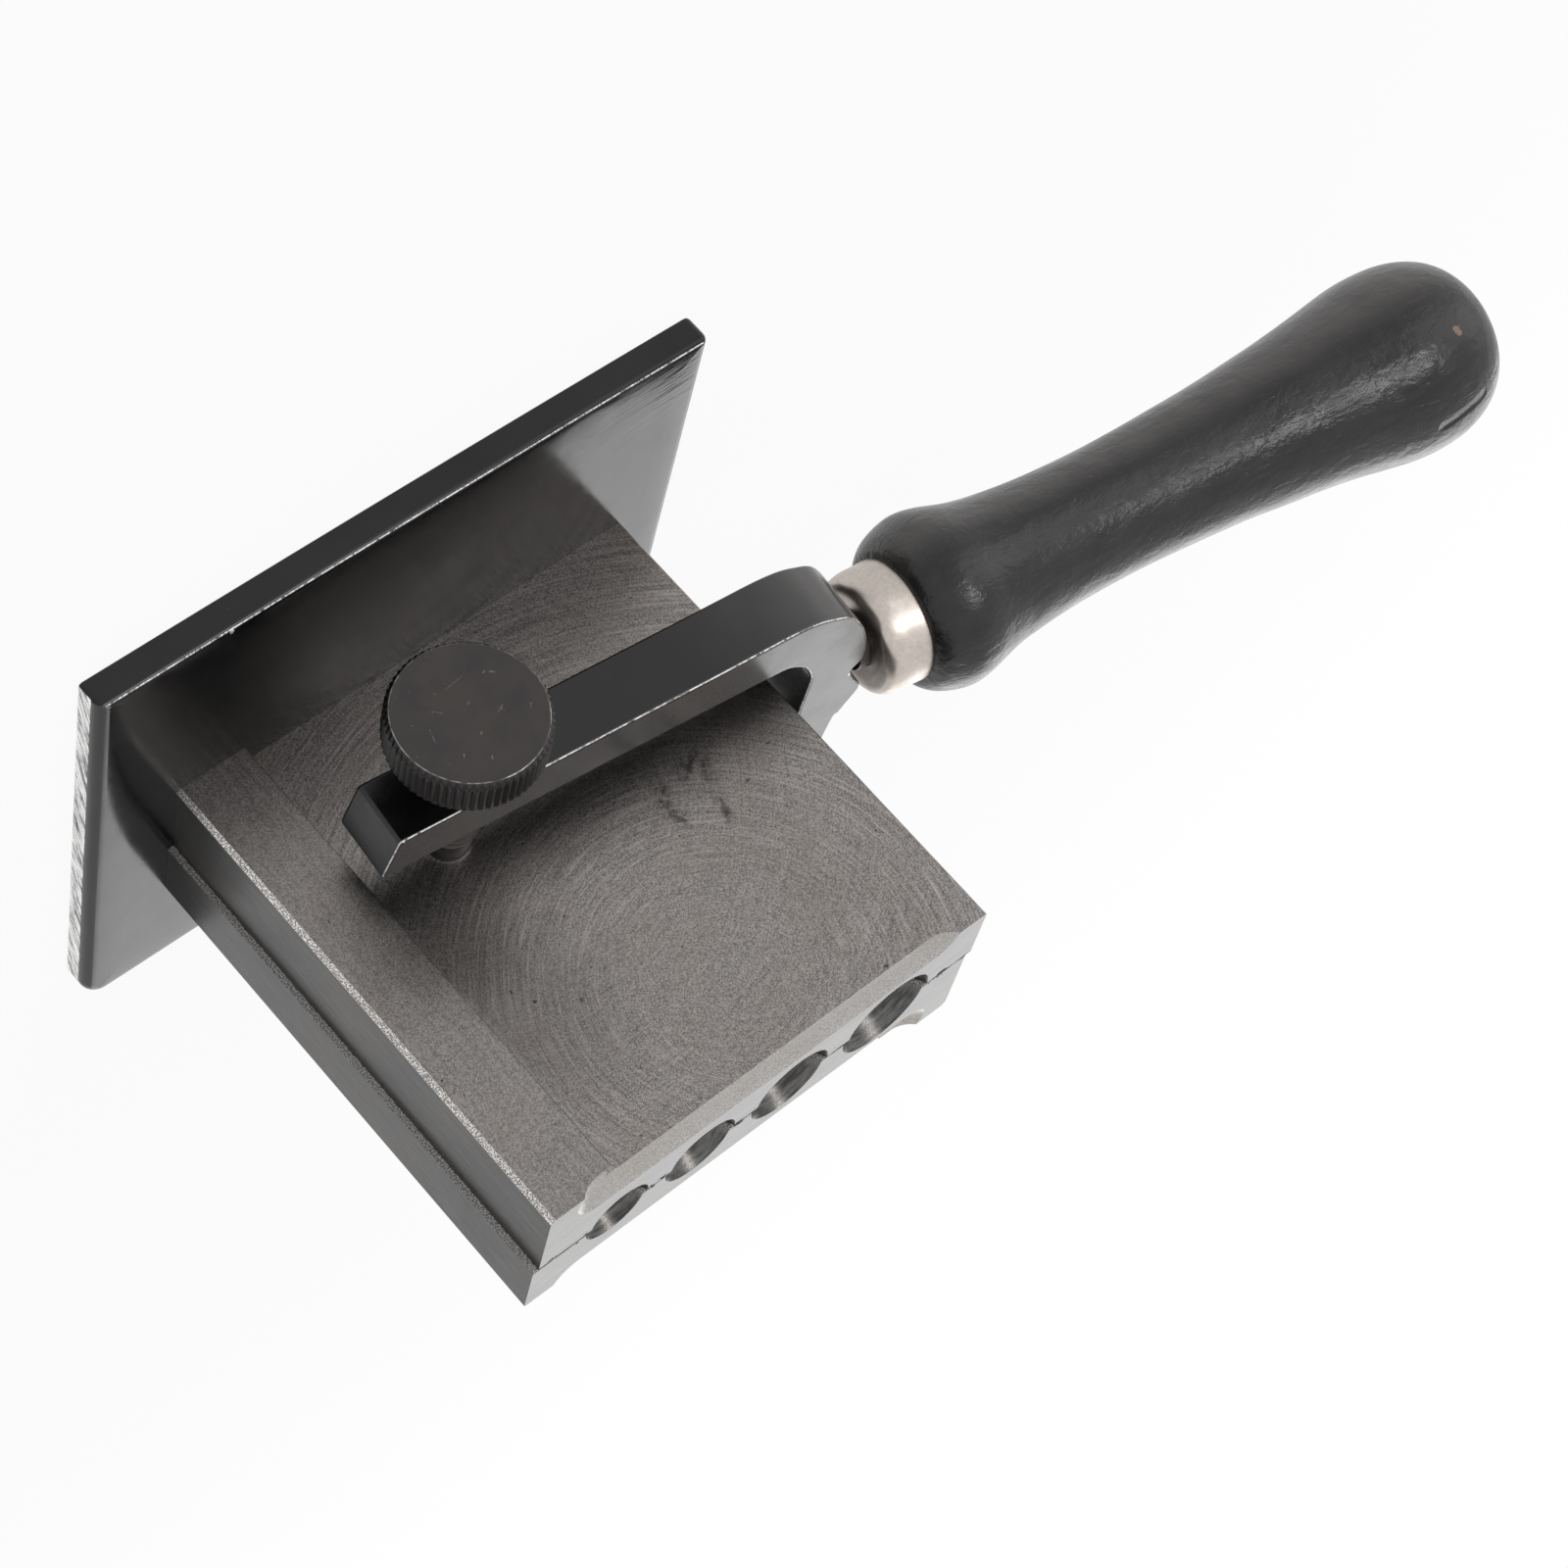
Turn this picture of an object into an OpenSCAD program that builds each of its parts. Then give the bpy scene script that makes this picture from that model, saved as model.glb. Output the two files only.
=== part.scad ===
/* Ingot mould: two iron plates held together in a forged clamp frame with a
   thumb screw, a turned handle and a base plate. Millimetres.
   Origin: middle of the base plate's underside. +Z is up (pouring mouths up),
   -Y is the screw side, the handle points along -X.
*/

/* [Mould plates] */
// Length of each plate along X
plate_w = 80; // [72:0.5:90]
// Height of each plate
plate_h = 80; // [72:0.5:110]
// Thickness of each plate at its thick strip
plate_t = 15.5; // [14:0.5:16]
// Depth of the sheet recess on each outer face
recess = 4; // [2:0.25:5]
// Width of the thick strip beside the recess
rim_w = 11.6; // [6:0.2:13]
// How far the back plate sits beyond the front one along X
back_shift = 1.0; // [-1:0.25:2]
// Broken edge of the plates
plate_edge = 0.7; // [0.3:0.1:1.2]

/* [Rod cavities] */
// Diameter of the first rod, nearest the free end
rod_1 = 5; // [3:0.5:5.5]
// Diameter of the second rod
rod_2 = 6.5; // [4:0.5:7]
// Diameter of the third rod
rod_3 = 8; // [5:0.5:8.5]
// Diameter of the fourth rod, nearest the handle
rod_4 = 10; // [6:0.5:10.5]
// How much wider each pouring mouth is than its rod
mouth_more = 5; // [3:0.25:6]
// Land between two mouths
mouth_gap = 4.2; // [2:0.2:4.4]
// Free end edge of the plate to the first mouth
mouth_start = 9.3; // [7:0.1:10]

/* [Sheet pouring lip] */
// Radius of the ball-nosed cut along the top of each outer face
lip_r = 6; // [4:0.5:7]
// Height of the cut's axis over the top of the plate
lip_rise = 3.9; // [3:0.1:5]
// Half the length of the cut between its ball centres
lip_half = 30.5; // [20:0.5:31]

/* [Base plate] */
// Length along X
base_l = 104.2; // [98:0.2:110]
// Depth along Y
base_d = 81.4; // [76:0.2:90]
// Thickness
base_t = 5; // [4:0.5:7]
// How far the plate is fastened askew, in degrees
base_turn = -1; // [-1.5:0.25:1.5]

/* [Clamp frame] */
// Bar height, across the plane of the frame
bar_w = 10.3; // [9:0.1:13]
// Rise of the frame towards the handle, in degrees
frame_tilt = 5.1; // [4:0.1:6]
// Screw axis over the base plate's top
screw_over_base = 26.2; // [22:0.2:34]
// Screw axis from the middle of the base plate
screw_x = 11.8; // [4:0.2:16]

/* [Screw] */
// Thread diameter
screw_d = 8; // [6:0.5:9]
// Thread pitch
pitch = 1.25; // [1:0.25:1.5]
// Diameter of the swivelling pressure tip
tip_d = 7; // [5:0.5:7.5]
// Knob diameter
knob_d = 22.7; // [16:0.1:26]
// Knob thickness
knob_t = 7; // [5:0.5:9]
// Teeth of the knurl
knurl_teeth = 64; // [40:2:72]

/* [Handle] */
// Rise of the handle away from the frame, in degrees
handle_tilt = 6.8; // [5:0.1:8]
// Diameter of the steel tang
tang_d = 8.5; // [6:0.5:9]
// Outer diameter of the ferrule
ferrule_d = 19.7; // [19.3:0.1:20]

/* [Hidden] */
$fn = 96;
e = 0.02;
plate_mid_x = -1.7;
part_y = 8.7;
plate_z = base_t;
screw_z = base_t + screw_over_base;
floor_front = part_y - plate_t + recess;
floor_back = part_y + plate_t - recess;
back_y = part_y + plate_t;
tip_l = 4;
screw_head_y = floor_front - 27.5;
hold_y = back_y + 5;
hold_x = 14;
running = 0.05;
mouths = [rod_1 + mouth_more, rod_2 + mouth_more, rod_3 + mouth_more, rod_4 + mouth_more];
rods = [rod_1, rod_2, rod_3, rod_4];

function mouth_x(i) = i == 0
  ? plate_w / 2 - mouth_start - mouths[0] / 2
  : mouth_x(i - 1) - mouths[i - 1] / 2 - mouth_gap - mouths[i] / 2;

// Local +Z points out of the knob, along world -Y
module on_screw_axis() {
  translate([screw_x, 0, screw_z])
    rotate([90, 0, 0])
      children();
}

// Local +Z points from the ferrule's rim to the end of the handle
module on_handle_axis() {
  translate([-71.3, 4.7, screw_z + 7.8])
    rotate([0, -(90 - handle_tilt), 0])
      children();
}

// Local XY is the plane of the clamp frame, with X = 0 at the screw
module in_frame_plane() {
  translate([screw_x, 0, screw_z])
    rotate([0, frame_tilt, 0])
      children();
}

module long_cut(l, s) {
  rotate([45, 0, 0])
    cube([l, s * sqrt(2), s * sqrt(2)], center = true);
}

module tall_cut(h, s) {
  rotate([0, 0, 45])
    cube([s * sqrt(2), s * sqrt(2), h], center = true);
}

// One plate with its parting face on y = 0 and its recess towards -Y
module plate_blank() {
  difference() {
    translate([-plate_w / 2, -plate_t, 0])
      cube([plate_w, plate_t, plate_h]);
    translate([-plate_w / 2 - 1, -plate_t - 1, -1])
      cube([plate_w - rim_w + 1, recess + 1, plate_h + 2]);
    translate([plate_w / 2, -plate_t, plate_h / 2])
      tall_cut(plate_h + 2, plate_edge);
    translate([plate_w / 2 - rim_w / 2, -plate_t, plate_h])
      long_cut(rim_w + 2, plate_edge / 2);
    translate([-plate_w / 2, recess - plate_t, plate_h / 2])
      tall_cut(plate_h + 2, plate_edge);
  }
}

// The rod grooves are cut into both plates alike, so they are given by X only
module rod_cuts(side) {
  for (i = [0 : 3]) {
    translate([side * mouth_x(i), 0, -1])
      cylinder(h = plate_h + 2, d = rods[i]);
    translate([side * mouth_x(i), 0, plate_h - mouth_more / 2 / tan(30)])
      cylinder(h = mouth_more / 2 / tan(30) + e,
               d1 = rods[i], d2 = mouths[i] + 2 * e * tan(30));
  }
}

// The lip is a round-ended cut beside the top of the recess
module lip_cut() {
  translate([0, 2.5 - plate_t, plate_h + lip_rise]) {
    translate([-lip_half, 0, 0])
      rotate([0, 90, 0])
        cylinder(h = 2 * lip_half, r = lip_r);
    translate([-lip_half, 0, 0])
      sphere(r = lip_r);
    translate([lip_half, 0, 0])
      sphere(r = lip_r);
  }
}

module front_plate() {
  color([0.42, 0.40, 0.38])
    translate([plate_mid_x, part_y, plate_z])
      difference() {
        plate_blank();
        rod_cuts(1);
        lip_cut();
      }
}

module back_plate() {
  color([0.40, 0.38, 0.36])
    translate([plate_mid_x + back_shift, part_y, plate_z])
      rotate([0, 0, 180])
        difference() {
          plate_blank();
          rod_cuts(-1);
          lip_cut();
        }
}

module round_off(r) {
  difference() {
    translate([-1, -1])
      square(r + 1);
    translate([r, r])
      circle(r = r);
  }
}

module base_outline() {
  difference() {
    square([base_l, base_d], center = true);
    for (x = [0, 1])
      mirror([x, 0]) {
        translate([-base_l / 2, -base_d / 2])
          round_off(2);
        translate([-base_l / 2, base_d / 2])
          mirror([0, 1])
            round_off(3.5);
      }
  }
}

module base_plate() {
  color([0.07, 0.07, 0.08])
    difference() {
      rotate([0, 0, base_turn])
        difference() {
          linear_extrude(height = base_t)
            base_outline();
          for (y = [-1, 1])
            translate([0, y * base_d / 2, base_t])
              long_cut(base_l + 2, 0.8);
          for (x = [-1, 1])
            translate([x * base_l / 2, 0, base_t])
              rotate([0, 0, 90])
                long_cut(base_d + 2, 1.1);
        }
      for (x = [-hold_x, hold_x])
        translate([x, hold_y, 0])
          countersunk(0);
    }
}

// Fastener shape, used for the screw and for the hole it fills
module countersunk(short) {
  translate([0, 0, short])
    cylinder(h = 2.5 - short, r1 = 5 - short, r2 = 2.5);
  translate([0, 0, short - 1])
    cylinder(h = 1, r = 5 - short);
  cylinder(h = 14, r = 2.5);
}

module base_screws() {
  color([0.30, 0.30, 0.31])
    for (x = [-hold_x, hold_x])
      translate([x, hold_y, 0])
        difference() {
          countersunk(0);
          translate([0, 0, -5])
            cube([30, 30, 10.6], center = true);
          cube([12, 1.2, 3], center = true);
        }
}

// Seen from above: free arm at the front, bridge at the handle, back arm
module frame_outline() {
  polygon([
    [15.2, -14.0], [12.9, -22.0], [-40, -20.05], [-47, -19.9], [-52, -19.8],
    [-55.5, -19.45], [-58.3, -18.75], [-60.9, -17.5], [-63.9, -15.6],
    [-66.3, -12.3], [-68.3, -8.1], [-69.5, -3.4],
    [-69.7, -0.3], [-69.3, 0.8], [-68.0, 2.0], [-68.0, 3.1], [-69.6, 6.4],
    [-71.1, 8.5], [-70.8, 10.1], [-69.4, 12.3], [-68.1, 14.4], [-67.4, 14.7],
    [-66.5, 20.1], [-66.0, 26], [-64.6, 30], [-62, 33], [-58.5, 34.5],
    [-54, back_y + 10], [16, back_y + 10], [19, back_y + 7.5], [19, back_y],
    [-53.2, back_y], [-56, 23.2], [-58.2, 21], [-59.2, 18], [-59.2, 5.6],
    [-59.6, -1.1], [-59.3, -3.5], [-57.8, -6.6], [-56.0, -8.4], [-53.7, -9.8],
    [-51.4, -10.1]
  ]);
}

module clamp_frame() {
  color([0.07, 0.07, 0.08])
    difference() {
      union() {
        in_frame_plane()
          translate([0, 0, -bar_w / 2])
            linear_extrude(height = bar_w)
              frame_outline();
        translate([-24, back_y + 0.6, base_t])
          cube([48, 8.8, screw_over_base]);
        translate([screw_x, floor_back, screw_z])
          rotate([-90, 0, 0])
            cylinder(h = recess + 1, d = 10);
      }
      on_screw_axis()
        translate([0, 0, 5])
          cylinder(h = 30, r = screw_d / 2 + running);
      on_handle_axis()
        translate([0, 0, -20])
          cylinder(h = 20, d = tang_d - 1.5);
      for (x = [-hold_x, hold_x])
        translate([x, hold_y, 0])
          cylinder(h = 14, r = 2.5);
    }
}

module handle_tang() {
  color([0.10, 0.10, 0.11])
    on_handle_axis() {
      translate([0, 0, -20])
        cylinder(h = 8, d = tang_d - 1.5);
      translate([0, 0, -12.6])
        cylinder(h = 12.6, d = tang_d);
      cylinder(h = 55, d1 = tang_d, d2 = tang_d - 3);
    }
}

module ferrule_outside() {
  polygon([
    [0, -10.9], [8.2, -10.9], [9.0, -10.6], [9.6, -9.9], [ferrule_d / 2, -8.9],
    [ferrule_d / 2, -3.5], [0, -3.5]
  ]);
}

module ferrule_inside() {
  polygon([
    [0, -10.1], [7.9, -10.1], [8.5, -9.7], [ferrule_d / 2 - 0.8, -8.8],
    [ferrule_d / 2 - 0.8, -3.5], [0, -3.5]
  ]);
}

module ferrule() {
  color([0.80, 0.76, 0.71])
    on_handle_axis()
      difference() {
        rotate_extrude()
          ferrule_outside();
        rotate_extrude()
          ferrule_inside();
        translate([0, 0, -3.5 - e])
          cylinder(h = 1, d = ferrule_d - 1.6);
        translate([0, 0, -12])
          cylinder(h = 4, d = tang_d);
      }
}

module handle_grip() {
  color([0.12, 0.12, 0.12])
    on_handle_axis()
      difference() {
        union() {
          rotate_extrude()
            ferrule_inside();
          rotate_extrude()
            polygon([
              [0, -3.5], [10.1, -3.5], [10.9, -3.2], [11.8, -2.5], [12.6, -1.4],
              [13.2, 0], [13.7, 1.6], [13.95, 3.2], [13.85, 5], [13.4, 7.2],
              [12.75, 9.4], [12.1, 11.8], [11.5, 15], [10.95, 19.5], [10.5, 25],
              [10.3, 31], [10.25, 37], [10.4, 43], [10.75, 50], [11.2, 58],
              [11.95, 66], [12.65, 73], [13.5, 79.5], [14.45, 85.5], [15.1, 89.5],
              [15.4, 93], [15.35, 96.5], [14.95, 99.5], [14.0, 102.5], [12.6, 105],
              [10.7, 107], [8.3, 108.3], [5, 108.95], [0, 109.15]
            ]);
        }
        translate([0, 0, -12])
          cylinder(h = 12, d = tang_d);
        cylinder(h = 55, d1 = tang_d, d2 = tang_d - 3);
      }
}

module pressure_tip() {
  color([0.10, 0.10, 0.11])
    on_screw_axis()
      translate([0, 0, -floor_front])
        difference() {
          union() {
            cylinder(h = 0.5, d1 = tip_d - 1, d2 = tip_d);
            translate([0, 0, 0.5])
              cylinder(h = tip_l - 0.5, d = tip_d);
          }
          translate([0, 0, tip_l - 2.5])
            cylinder(h = 3, r = 1.5 + running);
        }
}

// Profile of the thread as rings from the tip's back to the knob
module thread_profile(l) {
  n = floor(l / pitch);
  polygon(concat(
    [[0, 0]],
    [for (i = [0 : n - 1]) each [
      [screw_d / 2 - 0.65, i * pitch],
      [screw_d / 2, (i + 0.4) * pitch],
      [screw_d / 2, (i + 0.6) * pitch]
    ]],
    [[screw_d / 2 - 0.65, n * pitch], [screw_d / 2 - 0.65, l], [0, l]]
  ));
}

module clamp_screw() {
  color([0.12, 0.12, 0.13])
    on_screw_axis() {
      translate([0, 0, tip_l - 2.4 - floor_front])
        cylinder(h = 3, r = 1.5);
      translate([0, 0, tip_l - floor_front])
        rotate_extrude()
          thread_profile(27.5 - tip_l);
      translate([0, 0, 27.5 - floor_front - e])
        cylinder(h = 5 + e, r = screw_d / 2 - 0.65);
    }
}

module knurl_outline() {
  r = knob_d / 2;
  polygon([for (i = [0 : knurl_teeth - 1]) each [
    [r * cos(i * 360 / knurl_teeth), r * sin(i * 360 / knurl_teeth)],
    [(r - 0.35) * cos((i + 0.5) * 360 / knurl_teeth),
     (r - 0.35) * sin((i + 0.5) * 360 / knurl_teeth)]
  ]]);
}

module screw_knob() {
  r = knob_d / 2;
  color([0.16, 0.15, 0.16])
    on_screw_axis()
      translate([0, 0, 27.5 - floor_front])
        difference() {
          intersection() {
            linear_extrude(height = knob_t)
              knurl_outline();
            rotate_extrude()
              polygon([[0, 0], [r - 0.8, 0], [r + 0.1, 0.9], [r + 0.1, knob_t - 0.8],
                       [r - 0.7, knob_t], [0, knob_t]]);
          }
          translate([0, 0, -1])
            cylinder(h = 6, r = screw_d / 2 - 0.65);
          translate([0, 0, knob_t - 0.4])
            cylinder(h = 1, r1 = 0.3, r2 = 1);
        }
}

base_plate();
base_screws();
clamp_frame();
handle_tang();
ferrule();
handle_grip();
front_plate();
back_plate();
pressure_tip();
clamp_screw();
screw_knob();
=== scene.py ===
import math

import bmesh
import bpy
from mathutils import Matrix, Vector, noise
from mathutils.geometry import tessellate_polygon


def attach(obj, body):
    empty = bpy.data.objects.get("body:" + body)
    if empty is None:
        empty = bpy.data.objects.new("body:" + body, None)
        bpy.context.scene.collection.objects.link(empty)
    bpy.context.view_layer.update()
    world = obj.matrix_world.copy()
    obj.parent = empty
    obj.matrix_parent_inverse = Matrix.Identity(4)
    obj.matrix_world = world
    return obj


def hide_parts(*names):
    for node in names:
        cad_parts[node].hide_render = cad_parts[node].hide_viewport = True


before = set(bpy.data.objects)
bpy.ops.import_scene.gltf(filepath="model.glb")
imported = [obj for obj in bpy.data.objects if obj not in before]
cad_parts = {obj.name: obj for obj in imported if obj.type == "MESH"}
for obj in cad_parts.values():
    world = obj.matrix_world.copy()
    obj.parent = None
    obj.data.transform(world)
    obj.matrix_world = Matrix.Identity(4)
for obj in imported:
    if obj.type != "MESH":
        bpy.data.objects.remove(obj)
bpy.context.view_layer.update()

MM = 0.001

# ---------------------------------------------------------------- real sizes, in millimetres and degrees
BASE_T, BASE_L, BASE_D, BASE_TURN = 5.0, 104.2, 81.4, -1.0
PLATE_W, PLATE_H, PLATE_T, PLATE_CHAMFER = 80.0, 80.0, 15.5, 0.75
PLATE_MID_X, BACK_SHIFT = -1.7, 1.0    # the back plate stands a little further along X
PART_Y = 8.7                           # the joint between the two plates
BACK_Y = PART_Y + PLATE_T
TOP = BASE_T + PLATE_H
RECESS, RIM_W = 4.0, 11.6              # depth of the milled floor; width of the strip beside it
FLOOR_FRONT = PART_Y - PLATE_T + RECESS
FLOOR_BACK = BACK_Y - RECESS
RODS = (5.0, 6.5, 8.0, 10.0)
MOUTH_MORE, MOUTH_GAP, MOUTH_START, MOUTH_SLOPE = 5.0, 4.2, 9.3, 30.0
LIP_R, LIP_RISE, LIP_HALF, LIP_IN = 6.0, 3.9, 30.5, 2.5
FRAME_TILT, BAR_W, BAR_EDGE_R, BAR_HOLE_R = 5.1, 10.3, 0.5, 4.05
FOOT_HALF, FOOT_FRONT, FOOT_BACK = 24.0, BACK_Y + 0.6, BACK_Y + 9.4
SCREW_X, SCREW_Z = 11.8, 31.2
PITCH, THREAD_TURNS, ROOT_R, PIN_R, PIN_LONG = 1.25, 19.5, 3.36, 1.45, 1.8
SCREW_START, KNOB_START = 4.0, 27.5    # distances from the milled floor, along the screw
KNOB_R, KNOB_T, TEETH, TOOTH_DEEP = 11.35, 7.0, 64, 0.36
HANDLE_START, HANDLE_TILT = (-71.3, 4.7, SCREW_Z + 7.8), 6.8
FERRULE_R, FERRULE_BORE_R = 9.85, 4.3

CAMERA_AT = (209.45, -478.22, 209.86)
CAMERA_AHEAD = (-0.43277, 0.85378, -0.28942)
CAMERA_UP = (-0.5116, -0.49693, -0.70094)


def make_camera():
    data = bpy.data.cameras.new("camera")
    data.sensor_width = 36.0
    data.lens = 90.62
    data.shift_x = 0.0130
    data.shift_y = -0.0102
    data.clip_start = 0.01
    data.clip_end = 20.0
    cam = bpy.data.objects.new("camera", data)
    bpy.context.scene.collection.objects.link(cam)
    ahead = Vector(CAMERA_AHEAD).normalized()
    right = ahead.cross(Vector(CAMERA_UP)).normalized()
    up = right.cross(ahead)
    turn = Matrix((right, up, -ahead)).transposed().to_4x4()
    cam.matrix_world = Matrix.Translation(Vector(CAMERA_AT) * MM) @ turn
    bpy.context.scene.camera = cam


# ---------------------------------------------------------------- mesh helpers
def make_object(name, verts, faces, place=None, angle=30.0):
    """An object from points in millimetres, with doubles merged and faces outwards."""
    mesh = bpy.data.meshes.new(name)
    pts = [Vector(v) for v in verts]
    if place is not None:
        pts = [place @ p for p in pts]
    mesh.from_pydata([tuple(p * MM) for p in pts], [], faces)
    mesh.validate()
    bm = bmesh.new()
    bm.from_mesh(mesh)
    bmesh.ops.remove_doubles(bm, verts=bm.verts, dist=1e-7)
    bmesh.ops.recalc_face_normals(bm, faces=bm.faces)
    bm.to_mesh(mesh)
    bm.free()
    obj = bpy.data.objects.new(name, mesh)
    bpy.context.scene.collection.objects.link(obj)
    shade(obj, angle)
    return obj


def shade(obj, angle):
    obj.data.shade_smooth()
    obj.data.set_sharp_from_angle(angle=math.radians(angle))


def apply_modifiers(obj):
    graph = bpy.context.evaluated_depsgraph_get()
    mesh = bpy.data.meshes.new_from_object(obj.evaluated_get(graph))
    obj.modifiers.clear()
    obj.data = mesh


def even_normals(obj, angle=35.0):
    """Flat faces shade flat right up to their rounded edges."""
    shade(obj, angle)
    mod = obj.modifiers.new("normals", "WEIGHTED_NORMAL")
    mod.keep_sharp = True
    mod.weight = 80
    apply_modifiers(obj)


def bevel(obj, width, segments, angle):
    mod = obj.modifiers.new("edge", "BEVEL")
    mod.width = width * MM
    mod.segments = segments
    mod.limit_method = "ANGLE"
    mod.angle_limit = math.radians(angle)
    mod.use_clamp_overlap = True
    mod.miter_outer = "MITER_ARC"
    apply_modifiers(obj)
    even_normals(obj)


def carve(obj, cutters):
    for cutter in cutters:
        mod = obj.modifiers.new("cut", "BOOLEAN")
        mod.operation = "DIFFERENCE"
        mod.solver = "EXACT"
        mod.object = cutter
    apply_modifiers(obj)
    for cutter in cutters:
        bpy.data.objects.remove(cutter)


def faces_between(rows, n):
    """Faces that join each two neighbours of some closed rows of n points."""
    return [(j * n + i, j * n + (i + 1) % n, (j + 1) * n + (i + 1) % n, (j + 1) * n + i)
            for j in range(rows - 1) for i in range(n)]


def prism(name, outline, low, high):
    n = len(outline)
    verts = [(x, y, low) for x, y in outline] + [(x, y, high) for x, y in outline]
    faces = [tuple(range(n))[::-1], tuple(range(n, 2 * n))] + faces_between(2, n)
    return make_object(name, verts, faces)


def lathe(name, profile, place, around, shape=None, angle=30.0):
    """A turned form: profile holds (radius, distance along local Z)."""
    verts, faces, rows = [], [], []
    for r, z in profile:
        if r < 1e-6:
            rows.append([len(verts)])
            verts.append(Vector((0, 0, z)))
            continue
        row = []
        for k in range(around):
            a = 2 * math.pi * k / around
            p = Vector((r * math.cos(a), r * math.sin(a), z))
            row.append(len(verts))
            verts.append(shape(p, a) if shape else p)
        rows.append(row)
    for lower, upper in zip(rows, rows[1:]):
        for k in range(around):
            j = (k + 1) % around
            if len(lower) == 1:
                faces.append((lower[0], upper[j], upper[k]))
            elif len(upper) == 1:
                faces.append((lower[k], lower[j], upper[0]))
            else:
                faces.append((lower[k], lower[j], upper[j], upper[k]))
    return make_object(name, verts, faces, place, angle)


def smooth_path(points, steps=4):
    """Points on a smooth curve through the given ones."""
    out = []
    ends = [points[0]] + list(points) + [points[-1]]
    for i in range(1, len(ends) - 2):
        p0, p1, p2, p3 = (Vector(p) for p in ends[i - 1:i + 3])
        for s in range(steps):
            t = s / steps
            out.append(tuple(0.5 * (2 * p1 + (p2 - p0) * t + (2 * p0 - 5 * p1 + 4 * p2 - p3) * t * t
                                    + (3 * p1 - p0 - 3 * p2 + p3) * t ** 3)))
    out.append(tuple(points[-1]))
    return out


def quarter(axis, sign=1):
    return Matrix.Rotation(math.radians(sign * 90), 4, axis)


def screw_axis(y):
    """Local Z points along world -Y, starting at the given y."""
    return Matrix.Translation((SCREW_X, y, SCREW_Z)) @ quarter("X")


def handle_axis():
    """Local Z points along the handle, away from the clamp."""
    return Matrix.Translation(HANDLE_START) @ Matrix.Rotation(math.radians(-(90 - HANDLE_TILT)), 4, "Y")


# ---------------------------------------------------------------- node helpers
class Nodes:
    """Short calls that add nodes to one node tree."""

    def __init__(self, owner, output):
        owner.use_nodes = True
        self.tree = owner.node_tree
        self.tree.nodes.clear()
        self.out = self.tree.nodes.new(output)

    def add(self, kind, ins=None, **props):
        node = self.tree.nodes.new(kind)
        for key, value in props.items():
            setattr(node, key, value)
        for key, value in (ins or {}).items():
            self.put(value, node.inputs[key])
        return node

    def put(self, value, socket):
        if isinstance(value, bpy.types.NodeSocket):
            self.tree.links.new(value, socket)
        else:
            socket.default_value = value

    def math(self, op, a, b=0.0, clamp=False):
        return self.add("ShaderNodeMath", {0: a, 1: b}, operation=op, use_clamp=clamp).outputs[0]

    def fold(self, op, values):
        out = values[0]
        for value in values[1:]:
            out = self.math(op, out, value)
        return out

    def mul(self, *values):
        return self.fold("MULTIPLY", values)

    def plus(self, *values):
        return self.fold("ADD", values)

    def most(self, *values):
        return self.fold("MAXIMUM", values)

    def less(self, a, b):
        return self.math("SUBTRACT", a, b)

    def rest(self, value):
        """What is left of 1."""
        return self.math("SUBTRACT", 1.0, value)

    def size(self, value):
        return self.math("ABSOLUTE", value)

    def shown(self):
        """1 for the camera, for reflections and for what is seen through glass."""
        rays = self.add("ShaderNodeLightPath").outputs
        return self.most(rays["Is Camera Ray"], self.most(rays["Is Glossy Ray"], rays["Is Transmission Ray"]))

    def end_with(self, shader):
        self.tree.links.new(shader.outputs[0], self.out.inputs[0])

    def end_with_either(self, part, a, b):
        self.end_with(self.add("ShaderNodeMixShader", {0: part, 1: a.outputs[0], 2: b.outputs[0]}))


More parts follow.
